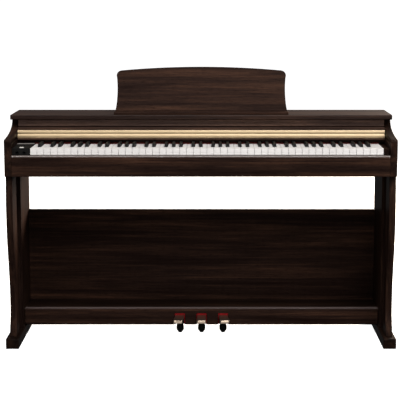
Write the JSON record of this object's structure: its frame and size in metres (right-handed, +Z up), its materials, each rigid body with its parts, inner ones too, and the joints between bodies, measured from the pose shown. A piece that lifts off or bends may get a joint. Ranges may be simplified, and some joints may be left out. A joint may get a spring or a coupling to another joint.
{
  "type": "digital piano on stand",
  "caption": "Full-size digital piano in a dark rosewood cabinet with sliding key cover, folding music rest, curved legs and three sprung pedals.",
  "frame": {"origin": "floor level, under the middle of the overall width and depth", "axes": "+X to the player's right, +Y away from the player, +Z up"},
  "size_m": [1.382, 0.39, 0.9827],
  "materials": {
    "rosewood": "satin, long dark grain",
    "black_board": "matt black painted board",
    "black_plastic": "fine moulded texture",
    "red_felt": "dense felt",
    "champagne": "satin anodised",
    "pedal_brass": "polished",
    "steel": "plain",
    "circuit_green": "solder mask",
    "speaker_black": "paper cone and ferrite",
    "ivory": "gloss",
    "ebony": "satin"
  },
  "bodies": {
    "cabinet": {"top_board": "rosewood", "arm_left": "rosewood", "arm_right": "rosewood", "key_bed": "rosewood", "key_slip": "rosewood", "front_panel": "rosewood", "cabinet_back": "black_board", "name_rail": "rosewood", "felt_strip": "red_felt", "control_block": "black_plastic", "cheek_block": "rosewood", "headphone_jacks": "black_plastic", "keyboard_frame": "steel", "hammer_set": "steel", "main_board": "circuit_green", "speakers": "speaker_black", "speaker_grilles": "black_plastic", "rear_panel": "black_plastic", "cover_rails": "steel", "music_ledge": "rosewood", "rest_hinges": "steel", "leg_left": "rosewood", "leg_right": "rosewood", "side_board_left": "rosewood", "side_board_right": "rosewood", "foot_left": "rosewood", "foot_right": "rosewood", "back_panel": "rosewood", "pedal_front": "rosewood", "pedal_top": "rosewood", "pedal_base": "black_plastic", "pedal_felts": "red_felt", "pedal_axle": "steel", "screws": "steel"},
    "key_cover": {"key_cover": "rosewood", "cover_handle": "champagne"},
    "music_rest": {"music_rest": "rosewood"},
    "rest_stays": {"rest_stays": "steel"},
    "volume_slider": {"volume_slider": "champagne"},
    "power_button": {"power_button": "black_plastic"},
    "key_c4": {"key_c4": "ivory"},
    "key_d4": {"key_d4": "ivory"},
    "key_e4": {"key_e4": "ivory"},
    "key_f4": {"key_f4": "ivory"},
    "key_g4": {"key_g4": "ivory"},
    "key_a4": {"key_a4": "ivory"},
    "key_b4": {"key_b4": "ivory"},
    "key_c_sharp4": {"key_c_sharp4": "ebony"},
    "key_d_sharp4": {"key_d_sharp4": "ebony"},
    "key_f_sharp4": {"key_f_sharp4": "ebony"},
    "key_g_sharp4": {"key_g_sharp4": "ebony"},
    "key_a_sharp4": {"key_a_sharp4": "ebony"},
    "white_keys": {"white_keys": "ivory"},
    "black_keys": {"black_keys": "ebony"},
    "pedal_left": {"pedal_left": "pedal_brass"},
    "pedal_middle": {"pedal_middle": "pedal_brass"},
    "pedal_right": {"pedal_right": "pedal_brass"},
    "adjuster_left": {"adjuster_left": "black_plastic"},
    "adjuster_middle": {"adjuster_middle": "black_plastic"},
    "adjuster_right": {"adjuster_right": "black_plastic"}
  },
  "joints": [
    {"name": "cover_slide", "type": "slide", "parent": "cabinet", "child": "key_cover", "axis": [0, -0.999, -0.0436], "range_m": [0, 0.14]},
    {"name": "rest_fold", "type": "hinge", "parent": "cabinet", "child": "music_rest", "pos_m": [0, 0.011, 0.828], "axis": [-1, 0, 0], "range_deg": [0, 72]},
    {"name": "stay_fold", "type": "hinge", "parent": "music_rest", "child": "rest_stays", "pos_m": [0, 0.03762, 0.88244], "axis": [1, 0, 0], "range_deg": [0, 131.08]},
    {"name": "key_c4_press", "type": "hinge", "parent": "cabinet", "child": "key_c4", "pos_m": [-0.03823, 0.057, 0.697], "axis": [1, 0, 0], "range_deg": [0, 2.5], "stiffness_Nm_per_rad": 1.5, "springref_deg": -11.46},
    {"name": "key_d4_press", "type": "hinge", "parent": "cabinet", "child": "key_d4", "pos_m": [-0.01458, 0.057, 0.697], "axis": [1, 0, 0], "range_deg": [0, 2.5], "stiffness_Nm_per_rad": 1.5, "springref_deg": -11.46},
    {"name": "key_e4_press", "type": "hinge", "parent": "cabinet", "child": "key_e4", "pos_m": [0.00907, 0.057, 0.697], "axis": [1, 0, 0], "range_deg": [0, 2.5], "stiffness_Nm_per_rad": 1.5, "springref_deg": -11.46},
    {"name": "key_f4_press", "type": "hinge", "parent": "cabinet", "child": "key_f4", "pos_m": [0.03272, 0.057, 0.697], "axis": [1, 0, 0], "range_deg": [0, 2.5], "stiffness_Nm_per_rad": 1.5, "springref_deg": -11.46},
    {"name": "key_g4_press", "type": "hinge", "parent": "cabinet", "child": "key_g4", "pos_m": [0.05638, 0.057, 0.697], "axis": [1, 0, 0], "range_deg": [0, 2.5], "stiffness_Nm_per_rad": 1.5, "springref_deg": -11.46},
    {"name": "key_a4_press", "type": "hinge", "parent": "cabinet", "child": "key_a4", "pos_m": [0.08002, 0.057, 0.697], "axis": [1, 0, 0], "range_deg": [0, 2.5], "stiffness_Nm_per_rad": 1.5, "springref_deg": -11.46},
    {"name": "key_b4_press", "type": "hinge", "parent": "cabinet", "child": "key_b4", "pos_m": [0.10367, 0.057, 0.697], "axis": [1, 0, 0], "range_deg": [0, 2.5], "stiffness_Nm_per_rad": 1.5, "springref_deg": -11.46},
    {"name": "key_c_sharp4_press", "type": "hinge", "parent": "cabinet", "child": "key_c_sharp4", "pos_m": [-0.028, 0.057, 0.697], "axis": [1, 0, 0], "range_deg": [0, 3.2], "stiffness_Nm_per_rad": 1, "springref_deg": -11.46},
    {"name": "key_d_sharp4_press", "type": "hinge", "parent": "cabinet", "child": "key_d_sharp4", "pos_m": [-0.00115, 0.057, 0.697], "axis": [1, 0, 0], "range_deg": [0, 3.2], "stiffness_Nm_per_rad": 1, "springref_deg": -11.46},
    {"name": "key_f_sharp4_press", "type": "hinge", "parent": "cabinet", "child": "key_f_sharp4", "pos_m": [0.04235, 0.057, 0.697], "axis": [1, 0, 0], "range_deg": [0, 3.2], "stiffness_Nm_per_rad": 1, "springref_deg": -11.46},
    {"name": "key_g_sharp4_press", "type": "hinge", "parent": "cabinet", "child": "key_g_sharp4", "pos_m": [0.0682, 0.057, 0.697], "axis": [1, 0, 0], "range_deg": [0, 3.2], "stiffness_Nm_per_rad": 1, "springref_deg": -11.46},
    {"name": "key_a_sharp4_press", "type": "hinge", "parent": "cabinet", "child": "key_a_sharp4", "pos_m": [0.09405, 0.057, 0.697], "axis": [1, 0, 0], "range_deg": [0, 3.2], "stiffness_Nm_per_rad": 1, "springref_deg": -11.46},
    {"name": "white_keys_press", "type": "hinge", "parent": "cabinet", "child": "white_keys", "pos_m": [0.021, 0.057, 0.697], "axis": [1, 0, 0], "range_deg": [0, 2.5], "stiffness_Nm_per_rad": 67, "springref_deg": -11.46},
    {"name": "black_keys_press", "type": "hinge", "parent": "cabinet", "child": "black_keys", "pos_m": [0.021, 0.057, 0.697], "axis": [1, 0, 0], "range_deg": [0, 3.2], "stiffness_Nm_per_rad": 31, "springref_deg": -11.46},
    {"name": "volume_slide", "type": "slide", "parent": "cabinet", "child": "volume_slider", "axis": [1, 0, 0], "range_m": [-0.012, 0.012]},
    {"name": "power_press", "type": "slide", "parent": "cabinet", "child": "power_button", "axis": [0, 0, -1], "range_m": [0, 0.0015], "stiffness_N_per_m": 300, "springref_m": -0.002},
    {"name": "pedal_left_press", "type": "hinge", "parent": "cabinet", "child": "pedal_left", "pos_m": [-0.07522, 0.068, 0.07], "axis": [1, 0, 0], "range_deg": [0, 6.5], "stiffness_Nm_per_rad": 12, "springref_deg": -11.46},
    {"name": "pedal_middle_press", "type": "hinge", "parent": "cabinet", "child": "pedal_middle", "pos_m": [0, 0.068, 0.07], "axis": [1, 0, 0], "range_deg": [0, 6.5], "stiffness_Nm_per_rad": 12, "springref_deg": -11.46},
    {"name": "pedal_right_press", "type": "hinge", "parent": "cabinet", "child": "pedal_right", "pos_m": [0.07522, 0.068, 0.07], "axis": [1, 0, 0], "range_deg": [0, 6.5], "stiffness_Nm_per_rad": 12, "springref_deg": -11.46},
    {"name": "adjuster_left_turn", "type": "hinge", "parent": "cabinet", "child": "adjuster_left", "pos_m": [-0.0795, 0.042, 0.03], "axis": [0, 0, 1], "continuous": true},
    {"name": "adjuster_middle_turn", "type": "hinge", "parent": "cabinet", "child": "adjuster_middle", "pos_m": [0, 0.042, 0.03], "axis": [0, 0, 1], "continuous": true},
    {"name": "adjuster_right_turn", "type": "hinge", "parent": "cabinet", "child": "adjuster_right", "pos_m": [0.0795, 0.042, 0.03], "axis": [0, 0, 1], "continuous": true}
  ],
  "couplings": [
    {"joint": "stay_fold", "follows": "rest_fold", "ratio": 1.8205}
  ]
}
